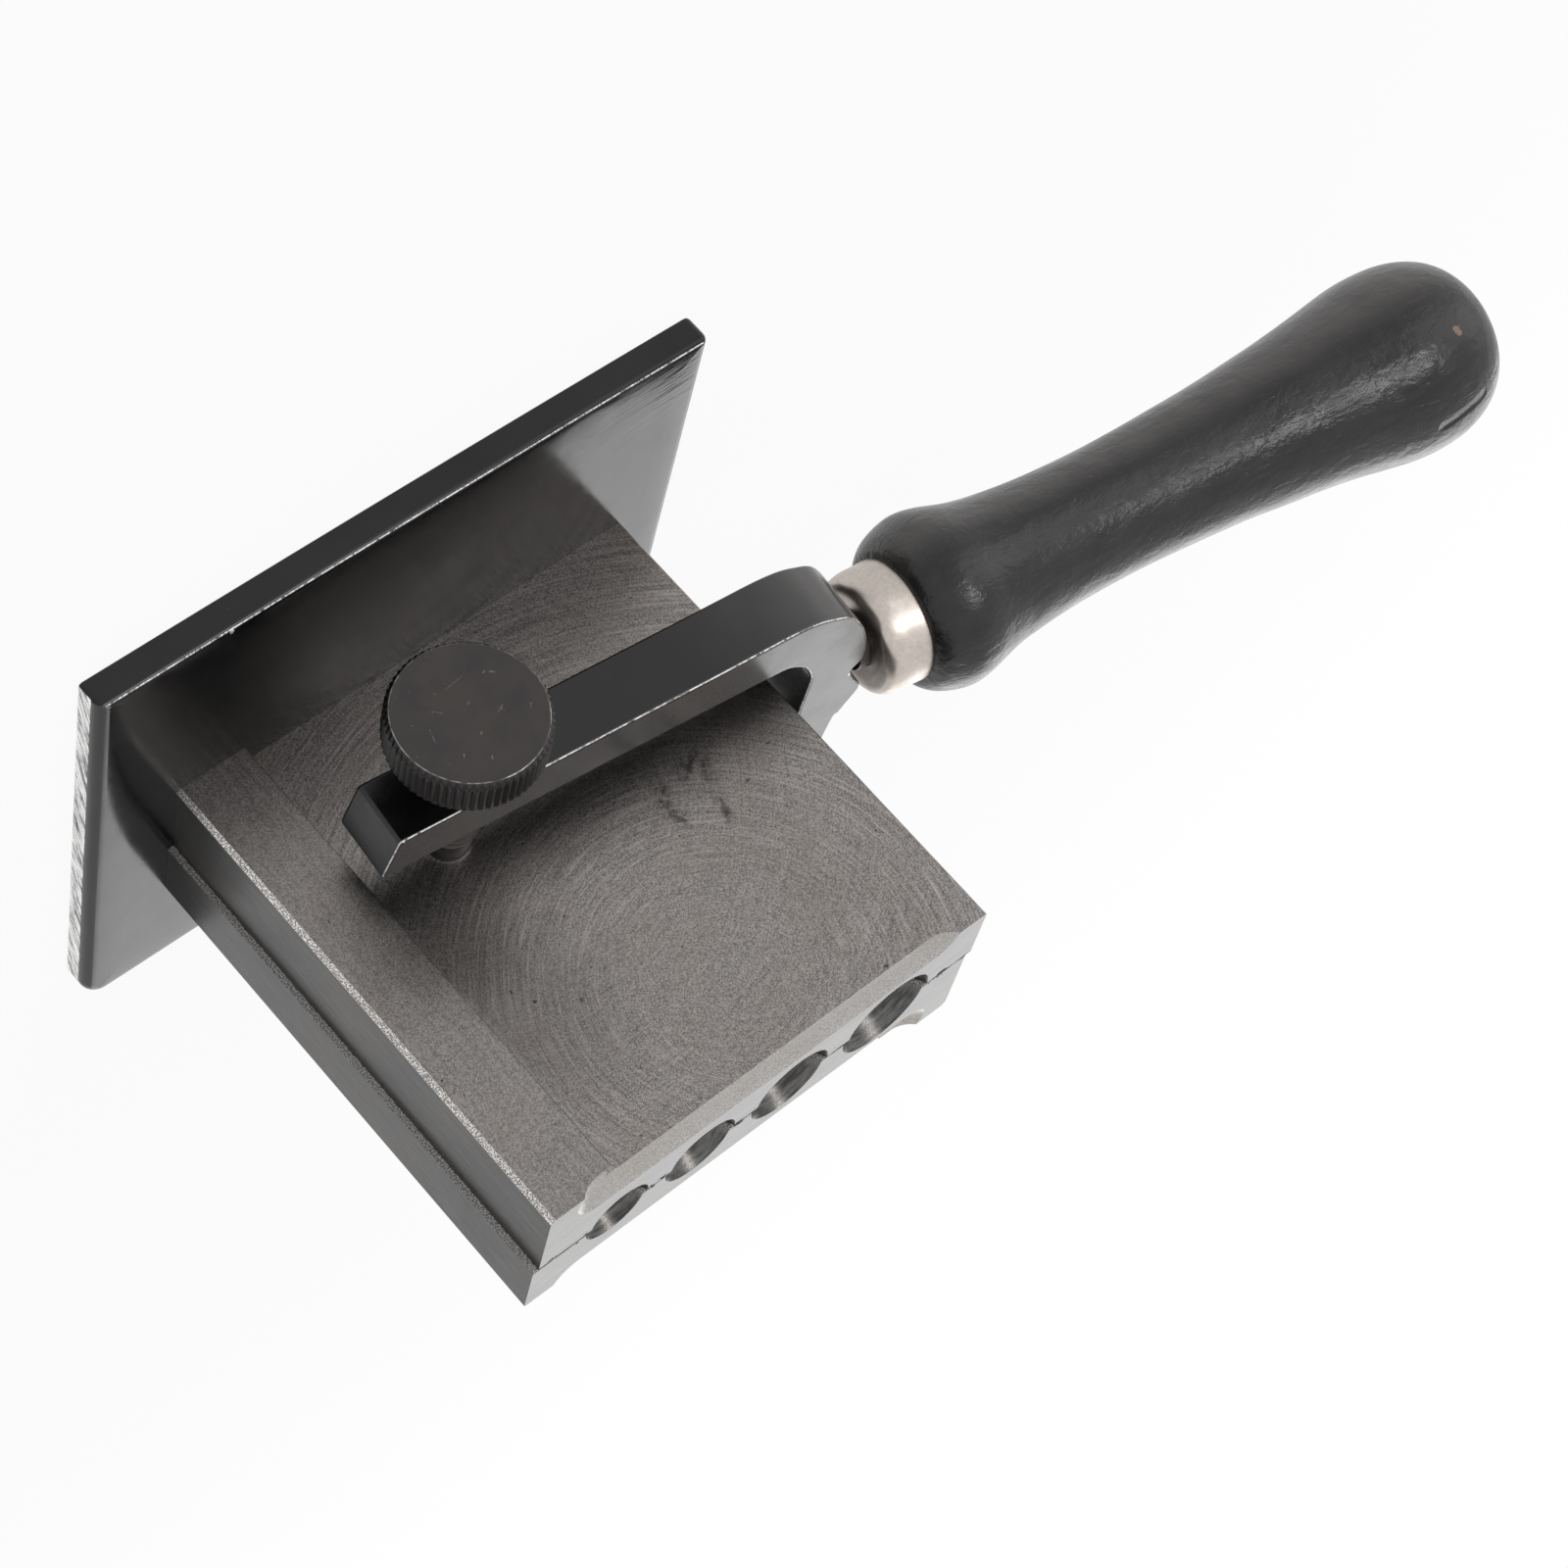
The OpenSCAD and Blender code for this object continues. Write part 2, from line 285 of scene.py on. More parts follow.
class Look(Nodes):
    """One procedural material."""

    def __init__(self, name):
        self.mat = bpy.data.materials.new(name)
        super().__init__(self.mat, "ShaderNodeOutputMaterial")
        coords = self.add("ShaderNodeTexCoord").outputs
        self.place, self.normal = coords["Object"], coords["Normal"]

    def span(self, value, low, high, to_low=0.0, to_high=1.0, smooth=True):
        """value taken from low..high to to_low..to_high, and held there outside."""
        kind = "SMOOTHSTEP" if smooth else "LINEAR"
        return self.add("ShaderNodeMapRange", {0: value, 1: low, 2: high, 3: to_low, 4: to_high},
                        interpolation_type=kind).outputs[0]

    def mix(self, part, a, b):
        """The colour a, with part of it changed to b."""
        node = self.add("ShaderNodeMix", data_type="RGBA")
        for key, value in ((0, part), (6, a), (7, b)):
            self.put((*value, 1.0) if isinstance(value, tuple) else value, node.inputs[key])
        return node.outputs[2]

    def tones(self, value, low, high, dark, light):
        return self.mix(self.span(value, low, high), dark, light)

    def noise(self, scale, detail, rough, vector=None, stretch=None, distortion=0.0):
        vec = self.place if vector is None else vector
        if stretch is not None:
            vec = self.add("ShaderNodeMapping", {"Vector": vec, "Scale": stretch}).outputs[0]
        return self.add("ShaderNodeTexNoise", {"Vector": vec, "Scale": scale, "Detail": detail,
                                               "Roughness": rough, "Distortion": distortion}).outputs[0]

    def turned(self, x, y):
        """The place, turned by so many degrees about X and Y."""
        turn = (math.radians(x), math.radians(y), 0)
        return self.add("ShaderNodeMapping", {"Vector": self.place, "Rotation": turn}).outputs[0]

    def parts(self, vector):
        return tuple(self.add("ShaderNodeSeparateXYZ", {0: vector}).outputs)

    def vec(self, op, a, b=(0, 0, 0)):
        outputs = self.add("ShaderNodeVectorMath", {0: a, 1: b}, operation=op).outputs
        return outputs["Value"] if op in ("DISTANCE", "DOT_PRODUCT", "LENGTH") else outputs[0]

    def near(self, point, radius, soft):
        """1 at the point, falling to 0 at the radius over the soft share of it."""
        away = self.vec("DISTANCE", self.place, tuple(c * MM for c in point))
        return self.span(away, radius * MM * (1 - soft), radius * MM, 1.0, 0.0)

    def scratch(self, a, b, width):
        """1 on a short line from a to b, fading across it."""
        a, b = Vector(a) * MM, Vector(b) * MM
        run = b - a
        rel = self.vec("SUBTRACT", self.place, tuple(a))
        part = self.vec("DOT_PRODUCT", rel, tuple(run / run.length_squared))
        part = self.math("ADD", part, 0.0, clamp=True)
        foot = self.add("ShaderNodeVectorMath", {0: tuple(run), "Scale": part}, operation="SCALE").outputs[0]
        return self.span(self.vec("DISTANCE", rel, foot), 0.0, width * MM, 1.0, 0.0)

    def marks(self, rows, x, y, z):
        """Scratches in the plane at y; each row is x0, z0, x1, z1 from (x, z), and a width."""
        return self.most(*[self.scratch((x + x0, y, z + z0), (x + x1, y, z + z1), width)
                           for x0, z0, x1, z1, width in rows])

    def bump(self, height, distance, strength):
        return self.add("ShaderNodeBump", {"Height": height, "Distance": distance * MM,
                                           "Strength": strength}).outputs[0]

    def surface(self, color, rough, metallic, normal, ior=None):
        ins = {"Base Color": color, "Roughness": rough, "Metallic": metallic, "Normal": normal}
        if ior is not None:
            ins["IOR"] = ior
        self.end_with(self.add("ShaderNodeBsdfPrincipled", ins))
        return self.mat


# ---------------------------------------------------------------- materials
def black_paint(name, chips, worn, gloss, ior, bare_end=False, painted_sheen_on_bend=False):
    """Black gloss paint. chips are (point, radius). worn is the direction that a rounded edge faces, and the
    leans towards it where a line of bare metal starts, is full, begins to fade and is gone; this worn line is
    also drawn bright as a painted highlight along the edge."""
    k = Look(name)
    nx, ny, _ = k.parts(k.normal)
    px, py, pz = k.parts(k.place)
    wave = k.noise(70, 2, 0.5)
    dust = k.span(k.noise(420, 4, 0.7), 0.60, 0.78)
    color = k.tones(wave, 0.3, 0.7, (0.0035, 0.0035, 0.004), (0.006, 0.006, 0.006))
    color = k.mix(k.mul(dust, 0.06), color, (0.10, 0.095, 0.09))
    rough = k.span(k.noise(160, 3, 0.6), 0.3, 0.7, *gloss)
    peel = k.noise(900, 2, 0.5)
    spots = k.span(k.noise(1500, 2, 0.6), 0.70, 0.76)
    height = k.less(k.plus(k.mul(peel, 0.35), k.mul(wave, 1.6)), k.mul(spots, 0.25))
    ragged = k.span(k.noise(2600, 2, 0.6), 0.2, 0.8, -0.5, 0.5, False)
    bare = [k.span(k.plus(k.near(point, radius, 0.8), ragged), 0.45, 0.62) for point, radius in chips]
    if painted_sheen_on_bend:
        # painted sheen: the bar made lighter towards its bend, broken by noise
        haze = k.mul(k.span(px, -24 * MM, -58 * MM), k.span(wave, 0.2, 0.8, 0.5, 1.0))
        color = k.mix(k.mul(haze, 0.95), color, (0.145, 0.136, 0.130))
    if bare_end:
        # painted sheen: faces that look to the front are made lighter
        front = k.mul(k.span(ny, -0.7, -0.95), k.span(wave, 0.3, 0.7, 0.5, 1.0))
        color = k.mix(front, color, (0.018, 0.018, 0.019))
        # paint that sagged near the left front corner
        sag = k.noise(330, 3, 0.6, stretch=(0.22, 1.6, 1.0), distortion=0.6)
        there = k.mul(k.span(px, -28 * MM, -44 * MM), k.span(py, -22 * MM, -32 * MM))
        height = k.plus(height, k.mul(sag, there, 6.0))
        # the right end, filed bare aslant
        streaks = k.noise(1300, 5, 0.85, vector=k.turned(-25, 0), stretch=(1.0, 0.10, 1.0))
        filed = k.mul(k.span(nx, 0.85, 0.97), k.span(pz, 3.2 * MM, 2.6 * MM))
        filed = k.plus(filed, k.span(streaks, 0.25, 0.75, -0.30, 0.30, False))
        bare.append(k.span(filed, 0.55, 0.75))
    else:
        streaks = k.noise(700, 5, 0.8, stretch=(1.0, 1.3, 0.12))
    direction, start, full, until, gone = worn
    # bare metal worn along the edge, and a painted highlight line there
    lean = k.vec("DOT_PRODUCT", k.normal, direction)
    line = k.mul(k.span(lean, start, full), k.span(lean, until, gone, 1.0, 0.0))
    bare.append(k.mul(line, k.span(k.noise(300, 4, 0.8), 0.30, 0.46, 0.3, 0.85)))
    bare = k.most(*bare)
    metal = k.tones(streaks, 0.38, 0.56, (0.06, 0.06, 0.063), (0.97, 0.96, 0.95))
    rough = k.most(rough, k.mul(bare, 0.40))
    height = k.plus(height, k.mul(bare, streaks, 3.0))
    return k.surface(k.mix(bare, color, metal), rough, k.mul(bare, 0.85), k.bump(height, 0.03, 0.5), ior)


# smudges on the front recess floor, in world X and Z: soft shapeless stains, and two specks
STAINS = ((-17.4, 42.9, -16.0, 45.0, 2.0), (-16.0, 46.4, -16.8, 48.0, 1.8), (-21.8, 42.4, -24.6, 41.8, 2.2),
          (-25.2, 42.8, -24.4, 45.4, 1.7), (-22.8, 49.0, -22.4, 52.0, 1.4),
          (12.0, 60.5, 12.6, 61.2, 0.7), (-3.0, 30.5, -2.2, 31.2, 0.7))


def ground_iron(name, mid_x, face_y, side):
    """Milled recess floor, ground strip and ends, smooth top, reamed mouths, blasted lip.
    side is 1 on the front plate and -1 on the back plate."""
    k = Look(name)
    x, y, z = k.parts(k.place)
    nx, ny, nz = [k.size(part) for part in k.parts(k.normal)]
    fine = k.noise(4200, 3, 0.7)
    grain = k.noise(7800, 2, 0.6)

    # masks for the plate's faces, from their directions, heights and distances from the joint
    from_joint = k.size(k.less(y, PART_Y * MM))
    above = k.span(z, (TOP - 0.3) * MM, (TOP - 0.1) * MM)
    facing = k.span(ny, 0.80, 0.95)
    end = k.span(nx, 0.80, 0.95)
    top = k.mul(k.span(nz, 0.80, 0.95), above)
    joint = k.rest(k.span(from_joint, 0.2 * MM, 0.5 * MM))
    strip = k.span(from_joint, 13.0 * MM, 14.5 * MM)
    past_mouths = k.span(from_joint, 7.6 * MM, 8.2 * MM)
    milled = k.mul(facing, k.rest(k.most(strip, joint)))
    curved = k.rest(k.math("ADD", facing, k.plus(end, top), clamp=True))
    mouth = k.mul(curved, k.rest(past_mouths))
    lip = k.mul(k.span(z, (TOP - 2.4) * MM, (TOP - 1.8) * MM), past_mouths, curved)
    outer = k.span(k.size(k.less(x, mid_x * MM)), 38.3 * MM, 38.9 * MM)
    corner = k.mul(k.span(k.mul(nx, ny), 0.18, 0.4), outer)
    painted_glint_strips = k.most(k.mul(facing, joint), k.mul(corner, strip))

    # arcs left by the milling cutter, clearest some way out from its centre
    def arcs(cx, cz, per_m, turns, seed):
        dx, dz = k.less(x, cx * MM), k.less(z, cz * MM)
        reach = k.math("SQRT", k.plus(k.mul(dx, dx), k.mul(dz, dz)))
        turn = k.math("ARCTAN2", dz, dx)
        place = k.add("ShaderNodeCombineXYZ", {0: k.mul(reach, per_m), 1: k.mul(turn, turns), 2: seed})
        return k.noise(1.0, 4, 0.75, vector=place.outputs[0]), reach

    sweep, reach = arcs(mid_x - 4.5, 71.0, 2300.0, 2.6, 0.0)
    second, _ = arcs(mid_x + side * 9.0, 22.0, 2500.0, 3.0, 4.0)
    ring = k.span(reach, 6 * MM, 28 * MM, 0.40, 1.0)
    lines = k.plus(k.mul(k.less(sweep, 0.5), ring), k.mul(k.less(second, 0.5), 0.45))
    bold = k.mul(k.span(sweep, 0.56, 0.64), ring, k.span(k.noise(45, 2, 0.5), 0.42, 0.60))
    along = k.noise(1500, 4, 0.7, stretch=(1.0, 1.0, 0.08))
    across = k.noise(1300, 4, 0.7, stretch=(0.07, 1.0, 1.0))
    rings = k.noise(1700, 4, 0.7, stretch=(0.12, 0.12, 1.0))

    tone = k.plus(k.mul(fine, 0.5), k.mul(grain, 0.5))
    strip_tone = k.plus(tone, k.mul(k.less(along, 0.5), 0.12))
    floor_tone = k.plus(tone, k.mul(lines, 0.30))
    color = k.tones(strip_tone, 0.41, 0.59, (0.13, 0.121, 0.116), (0.335, 0.314, 0.30))
    floor = k.tones(floor_tone, 0.40, 0.60, (0.11, 0.102, 0.098), (0.37, 0.346, 0.330))
    color = k.mix(milled, color, floor)
    color = k.mix(k.mul(bold, milled, 0.28), color, (0.52, 0.49, 0.47))
    if side > 0:
        # painted dark reflections on the milled floor: a broad patch, and the arm's dark reflection and shade
        # beside it
        painted_dark_reflections = k.most(k.near((mid_x + 24.0, face_y, 58.0), 24.0, 0.85),
                      k.near((mid_x - 36.0, face_y, 38.0), 13.0, 0.8))
        color = k.mix(k.mul(painted_dark_reflections, milled, 0.40), color, (0.085, 0.079, 0.076))
    # the milled floor's edge: a thin dark line of painted shade along the step, and a lighter band of burrs
    # beside it
    step = k.mul(k.less((mid_x + side * (PLATE_W / 2 - RIM_W)) * MM, x), side)
    on_floor = k.span(from_joint, 12.0 * MM, 11.8 * MM)
    burrs = k.mul(k.span(step, 2.4 * MM, 0.2 * MM), k.span(step, -0.1 * MM, 0.1 * MM), on_floor,
                  k.span(z, 30 * MM, 75 * MM, 0.15, 1.0),
                  k.span(k.noise(900, 4, 0.7, stretch=(1.0, 1.0, 0.3)), 0.38, 0.60))
    color = k.mix(k.mul(burrs, milled, 0.6), color, (0.55, 0.52, 0.50))
    # painted shade: the thin dark line along the step
    line = k.mul(k.span(k.size(step), 0.30 * MM, 0.12 * MM), facing)
    color = k.mix(k.mul(line, 0.45), color, (0.05, 0.046, 0.044))
    # ends, mouths, lip and top
    smudge = k.mul(k.span(k.noise(120, 4, 0.65), 0.48, 0.62), 0.35)
    ends = k.tones(along, 0.3, 0.7, (0.050, 0.049, 0.048), (0.088, 0.086, 0.084))
    color = k.mix(end, color, k.mix(smudge, ends, (0.03, 0.029, 0.028)))
    color = k.mix(mouth, color, k.tones(rings, 0.35, 0.65, (0.045, 0.045, 0.044), (0.13, 0.13, 0.127)))
    color = k.mix(lip, color, k.tones(tone, 0.44, 0.56, (0.31, 0.296, 0.284), (0.50, 0.48, 0.46)))
    color = k.mix(top, color, k.tones(across, 0.3, 0.7, (0.080, 0.082, 0.080), (0.120, 0.122, 0.119)))
    # the joint on the top face: a dark crack with nicks and pits along it
    crack = k.mul(k.span(from_joint, 0.42 * MM, 0.20 * MM), k.span(k.noise(330, 3, 0.6), 0.35, 0.60, 0.5, 1.0))
    nicked = k.mul(k.span(k.noise(520, 3, 0.6), 0.56, 0.62), k.span(from_joint, 1.2 * MM, 0.6 * MM))
    open_joint = k.mul(above, k.most(crack, nicked), k.rest(end))
    color = k.mix(open_joint, color, (0.01, 0.0095, 0.009))
    # bright facets along the worn edges, drawn as painted glints: bright specks on a lighter colour
    glint = k.span(k.noise(4600, 2, 0.6), 0.43, 0.60)
    color = k.mix(painted_glint_strips, color, k.mix(glint, (0.19, 0.180, 0.170), (0.90, 0.87, 0.84)))
    # brown haze, small dark pits and a few stains
    haze = k.mul(k.span(k.noise(60, 3, 0.55), 0.45, 0.75), 0.16)
    color = k.mix(haze, color, (0.20, 0.150, 0.120))
    pits = k.span(k.noise(650, 2, 0.5), 0.72, 0.77)
    color = k.mix(k.mul(pits, 0.75), color, (0.025, 0.023, 0.022))
    if side > 0:
        stains = k.mul(k.marks(STAINS, 0, face_y, 0), k.span(k.noise(800, 4, 0.7), 0.35, 0.62))
        color = k.mix(k.mul(stains, facing, 0.85), color, (0.045, 0.040, 0.038))

    rough = k.plus(k.span(fine, 0.3, 0.7, 0.29, 0.36), k.mul(mouth, -0.06))
    rough = k.most(rough, k.mul(open_joint, 0.9))
    height = k.plus(k.mul(grain, 0.7), k.mul(fine, 0.9), k.mul(lines, milled, 1.6), k.mul(along, end, 0.8),
                    k.mul(rings, mouth, 2.0), k.mul(glint, painted_glint_strips))
    height = k.mul(k.less(height, k.mul(pits, 2.0)), k.rest(k.mul(top, 0.8)))
    metallic = k.mul(k.less(0.98, k.mul(facing, joint, 0.8)), k.rest(open_joint))
    return k.surface(color, rough, metallic, k.bump(height, 0.014, 0.9))


# scratches on the knob's face, from its middle
KNOB_SCRATCHES = ((-4.2, 1.6, -3.2, 2.1, 0.20), (-3.9, 2.4, -3.5, 1.5, 0.16), (-6.5, -3.0, -6.1, -3.3, 0.22),
                  (-5.6, -3.8, -5.2, -3.7, 0.18), (5.9, -1.0, 6.5, 0.9, 0.13), (-2.6, -4.9, 0.4, -4.6, 0.10),
                  (2.9, -1.9, 3.9, -3.0, 0.12), (0.6, 3.2, 0.9, 3.4, 0.22), (4.6, 4.4, 4.8, 4.7, 0.2),
                  (-1.0, -1.4, -0.6, -1.1, 0.2), (-7.4, 3.6, -7.1, 4.0, 0.2), (1.8, 6.8, 2.0, 7.1, 0.2))


def dark_steel(name, knob=False, tip=False):
    """Blackened steel; the knob has wear of its own and a partly painted highlight on its rim, and the tip has
    painted highlights.
    """
    k = Look(name)
    fine = k.noise(1700, 3, 0.6)
    flecks = k.span(k.noise(1500, 3, 0.7), 0.70, 0.74)
    color = k.tones(k.noise(170, 4, 0.6), 0.3, 0.7, (0.046, 0.041, 0.043), (0.058, 0.052, 0.048))
    color = k.mix(k.mul(flecks, 0.5), color, (0.34, 0.32, 0.31))
    rough = k.span(fine, 0.3, 0.7, 0.28, 0.36)
    if tip:
        # painted highlights: a bright ring on the tip's rounded rims
        lean = k.size(k.parts(k.normal)[1])
        ring = k.mul(k.span(lean, 0.20, 0.40), k.span(lean, 0.97, 0.85))
        color = k.mix(k.mul(ring, 0.9), color, (0.72, 0.70, 0.68))
        # a painted glint: a bright place low on its side
        painted_glint_spot = k.mul(k.near((SCREW_X + 3.3, FLOOR_FRONT - 0.9, SCREW_Z - 0.9), 1.9, 0.7),
                       k.span(k.noise(900, 3, 0.7), 0.25, 0.50))
        color = k.mix(painted_glint_spot, color, (0.92, 0.90, 0.88))
        rough = k.most(rough, k.mul(painted_glint_spot, 0.5))
    if knob:
        lean = k.size(k.parts(k.normal)[1])
        side = k.rest(k.span(lean, 0.45, 0.75))
        color = k.mix(k.mul(side, 0.9), color, (0.010, 0.010, 0.010))
        # the rim: worn bright, and lightened further as a painted highlight
        worn_rim_and_highlight = k.mul(k.span(lean, 0.74, 0.86), k.rest(k.span(lean, 0.965, 0.99)),
                    k.span(k.noise(420, 4, 0.75), 0.42, 0.66))
        color = k.mix(k.mul(worn_rim_and_highlight, 0.75), color, (0.46, 0.43, 0.41))
        marks = k.mul(k.marks(KNOB_SCRATCHES, SCREW_X, FLOOR_FRONT - KNOB_START - KNOB_T, SCREW_Z),
                      k.span(k.noise(2600, 2, 0.6), 0.35, 0.6))
        color = k.mix(k.mul(marks, 0.28), color, (0.50, 0.48, 0.46))
    height = k.plus(fine, k.mul(flecks, 0.5))
    return k.surface(color, rough, 0.65, k.bump(height, 0.010, 0.5))


def plain_steel(name):
    k = Look(name)
    rings = k.noise(1900, 3, 0.6, stretch=(0.3, 3.0, 0.3))
    color = k.tones(rings, 0.3, 0.7, (0.27, 0.27, 0.27), (0.36, 0.3528, 0.342))
    rough = k.span(rings, 0.3, 0.7, 0.25, 0.36)
    return k.surface(color, rough, 1.0, k.bump(rings, 0.01, 0.6))


def nickel(name):
    k = Look(name)
    soft = k.noise(210, 3, 0.55)
    fine = k.noise(1400, 3, 0.6)
    stain = k.span(k.noise(90, 4, 0.65), 0.48, 0.72)
    color = k.tones(fine, 0.3, 0.7, (0.50, 0.452, 0.412), (0.58, 0.526, 0.482))
    color = k.mix(k.mul(stain, 0.15), color, (0.50, 0.43, 0.37))
    rough = k.span(soft, 0.3, 0.7, 0.31, 0.42)
    height = k.plus(k.mul(soft, 3.2), k.mul(fine, 0.12))
    return k.surface(color, rough, 1.0, k.bump(height, 0.03, 0.6))


def black_wood(name):
    k = Look(name)
    turned = k.turned(0, -HANDLE_TILT)
    grain = k.noise(700, 5, 0.65, vector=turned, stretch=(0.09, 1.0, 1.0), distortion=0.4)
    lumps = k.noise(430, 4, 0.6, vector=turned, stretch=(0.7, 1.0, 1.0), distortion=0.3)
    pores = k.span(k.noise(1200, 3, 0.6, vector=turned, stretch=(0.12, 1.0, 1.0)), 0.62, 0.74)
    nicks = k.span(k.noise(260, 3, 0.6), 0.70, 0.75)
    haze = k.noise(75, 4, 0.6)
    color = k.tones(grain, 0.3, 0.7, (0.010, 0.0096, 0.0096), (0.021, 0.0197, 0.0192))
    color = k.mix(k.mul(k.span(haze, 0.45, 0.7), 0.3), color, (0.040, 0.034, 0.031))
    # painted light: a paler underside, as if lit from below; and worn, paler spots
    painted_lit_underside = k.span(k.parts(k.normal)[2], 0.02, -0.42)
    dust = k.mul(painted_lit_underside, k.span(haze, 0.3, 0.7, 0.6, 1.0))
    color = k.mix(k.mul(dust, 0.7), color, (0.110, 0.101, 0.096))
    worn = k.span(k.noise(420, 5, 0.8), 0.70, 0.78)
    color = k.mix(k.mul(worn, 0.35), color, (0.15, 0.135, 0.125))
    # a knock that shows bare wood, and the scar of a pressed-in fold, both on the bulb
    knock = k.plus(k.near((-167.4, -9.3, 56.4), 1.5, 0.9), k.span(k.noise(900, 3, 0.7), 0.3, 0.7, -0.5, 0.2))
    color = k.mix(k.span(knock, 0.35, 0.5), color, (0.24, 0.17, 0.12))
    fold = k.scratch((-160.5, 1.0, 64.6), (-168.6, -0.8, 64.5), 1.3)
    rough = k.plus(k.span(haze, 0.35, 0.65, 0.21, 0.31), k.span(grain, 0.3, 0.7, -0.03, 0.03))
    height = k.plus(k.mul(grain, 0.5), k.mul(lumps, 3.4))
    for dent, deep in ((fold, 5.0), (pores, 0.6), (nicks, 1.5)):
        height = k.less(height, k.mul(dent, deep))
    return k.surface(color, rough, 0.0, k.bump(height, 0.12, 0.6), 1.45)


# ---------------------------------------------------------------- the two plates
def mouth_positions():
    out = []
    edge = PLATE_W / 2 - MOUTH_START
    for rod in RODS:
        wide = rod + MOUTH_MORE
        out.append(edge - wide / 2)
        edge -= wide + MOUTH_GAP
    return out


def make_plate(name, side):
    """side 1 is the front plate; side -1 the back plate, turned half round."""
    w, t, c, burr = PLATE_W / 2, PLATE_T, PLATE_CHAMFER, 0.3
    outline = [(-w, 0), (w, 0), (w, -t + c), (w - c, -t), (w - RIM_W, -t), (w - RIM_W, -t + RECESS),
               (-w + burr, -t + RECESS), (-w, -t + RECESS + burr)]
    plate = prism(name, outline, 0, PLATE_H)
    cutters = []
    slope, over, around = math.tan(math.radians(MOUTH_SLOPE)), 1, 72
    for rod, mid in zip(RODS, mouth_positions()):
        wide = rod + MOUTH_MORE
        deep = MOUTH_MORE / 2 / slope
        profile = [(0, -over), (rod / 2, -over), (rod / 2, PLATE_H - deep),
                   (wide / 2 + over * slope, PLATE_H + over), (0, PLATE_H + over)]
        cutters.append(lathe("cut", profile, Matrix.Translation((side * mid, 0, 0)), around))
    # the scooped lip: a round-ended rod laid along the top of the recess
    ball = [(LIP_R * math.sin(math.radians(a)), -LIP_HALF - LIP_R * math.cos(math.radians(a)))
            for a in range(0, 91, 6)]
    ball += [(r, -z) for r, z in reversed(ball)]
    lip = Matrix.Translation((0, LIP_IN - t, PLATE_H + LIP_RISE)) @ quarter("Y")
    cutters.append(lathe("cut", ball, lip, around))
    carve(plate, cutters)
    bevel(plate, 0.16, 2, 28)
    mid_x, turn = (PLATE_MID_X, 0) if side > 0 else (PLATE_MID_X + BACK_SHIFT, math.pi)
    place = Matrix.Translation(Vector((mid_x, PART_Y, BASE_T)) * MM) @ Matrix.Rotation(turn, 4, "Z")
    plate.data.transform(place)
    return plate


# ---------------------------------------------------------------- the base plate
END_R, SIDE_R = 1.8, 0.95              # how far its ends and its long sides are rounded
END_Z, SIDE_Z = 3.05, 3.8              # the heights at which the rounding starts
END_RISE, SIDE_RISE = 1.80, 1.12


def base_ring(inset_x, inset_y, z_end, z_side):
    """One closed row of points round the base plate, with many points along its sides."""
    half_x, half_y = BASE_L / 2, BASE_D / 2
    corner_steps, side_steps, long_side = 8, 30, 20
    out = []
    for sx, sy, r, start in ((1, -1, 0.7, 270), (1, 1, 3.5, 0), (-1, 1, 3.5, 90), (-1, -1, 1.4, 180)):
        rx, ry = max(r - inset_x, 0.3), max(r - inset_y, 0.3)
        mid = (sx * (half_x - inset_x - rx), sy * (half_y - inset_y - ry))
        for i in range(corner_steps + 1):
            a = math.radians(start + 90 * i / corner_steps)
            across = math.cos(a) ** 2
            out.append((mid[0] + rx * math.cos(a), mid[1] + ry * math.sin(a),
                        z_end * across + z_side * (1 - across)))
    full = []
    for i, p in enumerate(out):
        q = out[(i + 1) % len(out)]
        full.append(p)
        if math.hypot(q[0] - p[0], q[1] - p[1]) > long_side:
            full += [tuple(p[k] + (q[k] - p[k]) * j / side_steps for k in range(3))
                     for j in range(1, side_steps)]
    bowed = []
    for x, y, z in full:
        # the front edge bows in a little at its middle, and all edges wave slightly
        if y < -half_y * 0.6:
            y += 0.45 * (x / half_x) ** 2 * (-y / half_y)
        wave = 0.07 * noise.noise(Vector((x * 0.09, y * 0.09, 0))) * min(1.0, z / 3)
        push = max(0.0, 1 - inset_x / 3)
        x -= math.copysign(abs(wave) * push, x) if abs(x) > half_x * 0.9 else 0.0
        y -= math.copysign(abs(wave) * push, y) if abs(y) > half_y * 0.9 else 0.0
        bowed.append((x, y, z))
    return bowed


def make_base():
    rings = [(0.5, 0.5, 0.0, 0.0), (0.12, 0.12, 0.14, 0.14), (0, 0, 0.5, 0.5), (0, 0, END_Z, SIDE_Z)]
    steps = 7
    for i in range(1, steps + 1):
        a = math.radians(90 * i / steps)
        rings.append((END_R * (1 - math.cos(a)), SIDE_R * (1 - math.cos(a)),
                      END_Z + END_RISE * math.sin(a), SIDE_Z + SIDE_RISE * math.sin(a)))
    for more, end_drop, side_drop in ((0.7, 0.10, 0.05), (1.6, 0.055, 0.03),
                                      (2.8, 0.02, 0.012), (4.6, 0, 0)):
        rings.append((END_R + more, SIDE_R + more, BASE_T - end_drop, BASE_T - side_drop))
    rows = [base_ring(*ring) for ring in rings]
    n = len(rows[0])
    verts = [p for row in rows for p in row]
    faces = [tuple(range(n))[::-1]] + faces_between(len(rows), n)
    faces.append(tuple((len(rows) - 1) * n + i for i in range(n)))
    base = make_object("base_plate_forged", verts, faces, Matrix.Rotation(math.radians(BASE_TURN), 4, "Z"), 50)
    even_normals(base, 50)
    return base


